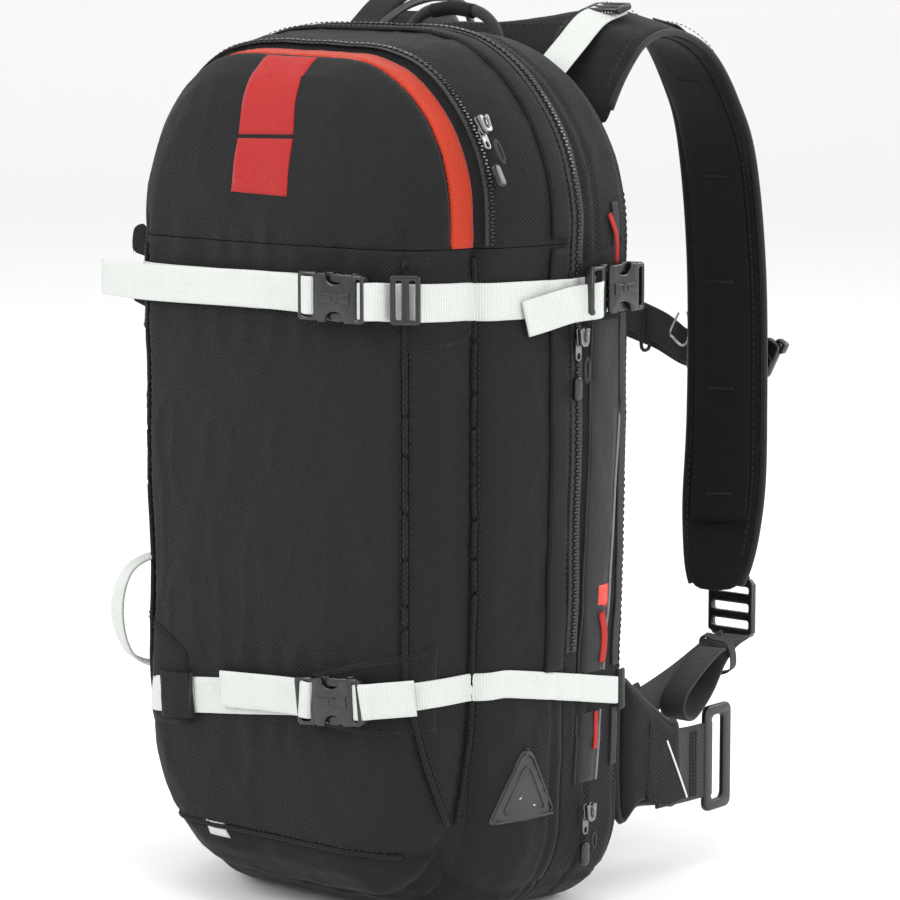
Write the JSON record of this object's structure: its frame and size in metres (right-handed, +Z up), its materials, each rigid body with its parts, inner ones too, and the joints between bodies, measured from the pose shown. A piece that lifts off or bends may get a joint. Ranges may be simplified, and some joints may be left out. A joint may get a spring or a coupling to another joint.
{
  "type": "avalanche airbag backpack",
  "caption": "Black avalanche airbag backpack with white compression straps, red trim, shoulder harness, hip wings and an internal gas airbag system.",
  "frame": {"origin": "centre of the base, on the floor it stands on", "axes": "+Z up, +Y towards the wearer's back, +X to the right of the front panel"},
  "size_m": [0.2896, 0.3536, 0.5028],
  "materials": {
    "black_fabric": "coarse woven nylon, matt",
    "smooth_fabric": "fine close-woven nylon, slightly smoother",
    "red_fabric": "woven nylon, matt",
    "grey_fabric": "smooth coated tape",
    "white_webbing": "flat woven polyester webbing",
    "black_webbing": "flat woven nylon webbing",
    "black_plastic": "moulded acetal, satin",
    "red_plastic": "moulded, satin",
    "white_plastic": "printed dial",
    "clear_sheet": "moulded polyethylene sheet",
    "black_rubber": "moulded, satin",
    "zip_metal": "cast and tumbled",
    "steel": "drawn, brushed",
    "aluminium": "anodised, satin"
  },
  "bodies": {
    "pack": {"rear_shell": "smooth_fabric", "lower_front": "black_fabric", "base_panel": "smooth_fabric", "divider_lower": "smooth_fabric", "back_pad": "smooth_fabric", "frame_sheet": "clear_sheet", "frame_stays": "aluminium", "main_zip": "grey_fabric", "burst_zips": "red_fabric", "side_bands": "grey_fabric", "rubber_badge": "black_rubber", "haul_loop": "black_webbing", "ski_loop": "white_webbing", "airbag_left": "red_fabric", "airbag_right": "red_fabric", "inflator_head": "aluminium", "hose_left": "black_rubber", "hose_right": "black_rubber", "gauge_dial": "white_plastic", "cable_inner": "black_rubber", "upper_strap_left": "white_webbing", "upper_strap_right": "white_webbing", "upper_buckle_socket": "black_plastic", "side_buckle_sockets": "black_plastic", "strap_anchors": "smooth_fabric", "lower_strap_left": "white_webbing", "lower_strap_right": "white_webbing", "lower_buckle_socket": "black_plastic", "strap_slider": "black_plastic", "shoulder_webs": "black_webbing"},
    "lid": {"lid_shell": "black_fabric", "divider_upper": "smooth_fabric", "pocket_zip": "grey_fabric"},
    "flap": {"front_flap": "black_fabric", "flap_edge": "red_fabric"},
    "main_slider": {"main_zip_slider": "zip_metal"},
    "pocket_slider": {"pocket_zip_slider": "zip_metal"},
    "lower_slider": {"lower_zip_slider": "zip_metal"},
    "gas_cartridge": {"cartridge": "aluminium"},
    "needle": {"gauge_needle": "red_plastic"},
    "lever": {"trigger_lever": "steel"},
    "handle": {"trigger_handle": "red_plastic"},
    "shoulder_left": {"shoulder_pad_left": "smooth_fabric", "load_lifter_left": "white_webbing", "cable_outer": "black_rubber", "trigger_pocket": "smooth_fabric"},
    "shoulder_right": {"shoulder_pad_right": "smooth_fabric", "load_lifter_right": "white_webbing"},
    "sternum": {"sternum_strap": "black_webbing"},
    "sternum_buckle": {"sternum_socket": "black_plastic"},
    "upper_plug": {"upper_buckle_plug": "black_plastic"},
    "lower_plug": {"lower_buckle_plug": "black_plastic"},
    "side_plug_left": {"side_buckle_plug_left": "black_plastic"},
    "side_plug_right": {"side_buckle_plug_right": "black_plastic"},
    "lock_left": {"ladder_lock_left": "black_plastic"},
    "lock_right": {"ladder_lock_right": "black_plastic"},
    "hip_left": {"hip_wing_left": "smooth_fabric"},
    "hip_right": {"hip_wing_right": "smooth_fabric"},
    "hip_hook": {"hip_buckle_hook": "aluminium"},
    "hip_loop": {"hip_buckle_loop": "aluminium"}
  },
  "joints": [
    {"name": "lid_open", "type": "hinge", "parent": "pack", "child": "lid", "pos_m": [0, -0.088, 0.372], "axis": [1, 0, 0], "range_deg": [0, 45]},
    {"name": "flap_open", "type": "hinge", "parent": "lid", "child": "flap", "pos_m": [0, -0.088, 0.372], "axis": [1, 0, 0], "range_deg": [0, 55]},
    {"name": "main_zip_pull", "type": "slide", "parent": "pack", "child": "main_slider", "axis": [0, 0, 1], "range_m": [-0.145, 0]},
    {"name": "pocket_zip_pull", "type": "hinge", "parent": "lid", "child": "pocket_slider", "pos_m": [0.022, -0.04, 0.3886], "axis": [0, 1, 0], "range_deg": [-35, 8]},
    {"name": "lower_zip_pull", "type": "slide", "parent": "pack", "child": "lower_slider", "axis": [0, 0, 1], "range_m": [0, 0.035]},
    {"name": "cartridge_turn", "type": "hinge", "parent": "pack", "child": "gas_cartridge", "pos_m": [0.04, 0.022, 0.05], "axis": [1, 0, 0], "continuous": true},
    {"name": "needle_turn", "type": "hinge", "parent": "pack", "child": "needle", "pos_m": [0.078, 0.004, 0.05], "axis": [0, 1, 0], "range_deg": [-120, 120]},
    {"name": "lever_turn", "type": "hinge", "parent": "pack", "child": "lever", "pos_m": [0.078, 0.022, 0.063], "axis": [0, 1, 0], "range_deg": [0, 51]},
    {"name": "handle_pull", "type": "slide", "parent": "shoulder_left", "child": "handle", "axis": [0, 0, -1], "range_m": [0, 0.045]},
    {"name": "shoulder_left_lift", "type": "hinge", "parent": "pack", "child": "shoulder_left", "pos_m": [0, 0.075, 0.465], "axis": [1, 0, 0], "range_deg": [0, 25]},
    {"name": "shoulder_right_lift", "type": "hinge", "parent": "pack", "child": "shoulder_right", "pos_m": [0, 0.075, 0.465], "axis": [1, 0, 0], "range_deg": [0, 25]},
    {"name": "sternum_height", "type": "slide", "parent": "shoulder_left", "child": "sternum", "axis": [0, 0, 1], "range_m": [-0.02, 0.02]},
    {"name": "sternum_release", "type": "slide", "parent": "sternum", "child": "sternum_buckle", "axis": [1, 0, 0], "range_m": [0, 0.03]},
    {"name": "upper_release", "type": "slide", "parent": "pack", "child": "upper_plug", "axis": [-1, 0, 0], "range_m": [0, 0.035]},
    {"name": "lower_release", "type": "slide", "parent": "pack", "child": "lower_plug", "axis": [-0.994, 0, -0.1093], "range_m": [0, 0.035]},
    {"name": "side_release_left", "type": "slide", "parent": "pack", "child": "side_plug_left", "axis": [0, -1, 0], "range_m": [0, 0.035]},
    {"name": "side_release_right", "type": "slide", "parent": "pack", "child": "side_plug_right", "axis": [0, -1, 0], "range_m": [0, 0.035]},
    {"name": "lock_tilt_left", "type": "hinge", "parent": "shoulder_left", "child": "lock_left", "pos_m": [-0.095, 0.2195, 0.16], "axis": [1, 0, 0], "range_deg": [0, 30]},
    {"name": "lock_tilt_right", "type": "hinge", "parent": "shoulder_right", "child": "lock_right", "pos_m": [0.095, 0.2195, 0.16], "axis": [1, 0, 0], "range_deg": [0, 30]},
    {"name": "hip_swing_left", "type": "hinge", "parent": "pack", "child": "hip_left", "pos_m": [-0.116, 0.077, 0.083], "axis": [0, 0, 1], "range_deg": [0, 40]},
    {"name": "hip_swing_right", "type": "hinge", "parent": "pack", "child": "hip_right", "pos_m": [0.116, 0.077, 0.083], "axis": [0, 0, 1], "range_deg": [-40, 0]},
    {"name": "hook_tilt", "type": "hinge", "parent": "hip_left", "child": "hip_hook", "pos_m": [-0.1155, 0.163, 0.063], "axis": [0, 0, 1], "range_deg": [-30, 30]},
    {"name": "loop_tilt", "type": "hinge", "parent": "hip_right", "child": "hip_loop", "pos_m": [0.1155, 0.163, 0.063], "axis": [0, 0, 1], "range_deg": [-30, 30]}
  ],
  "couplings": [
    {"joint": "shoulder_right_lift", "follows": "shoulder_left_lift", "ratio": 1},
    {"joint": "lever_turn", "follows": "handle_pull", "rad_per_m": 19.39}
  ]
}
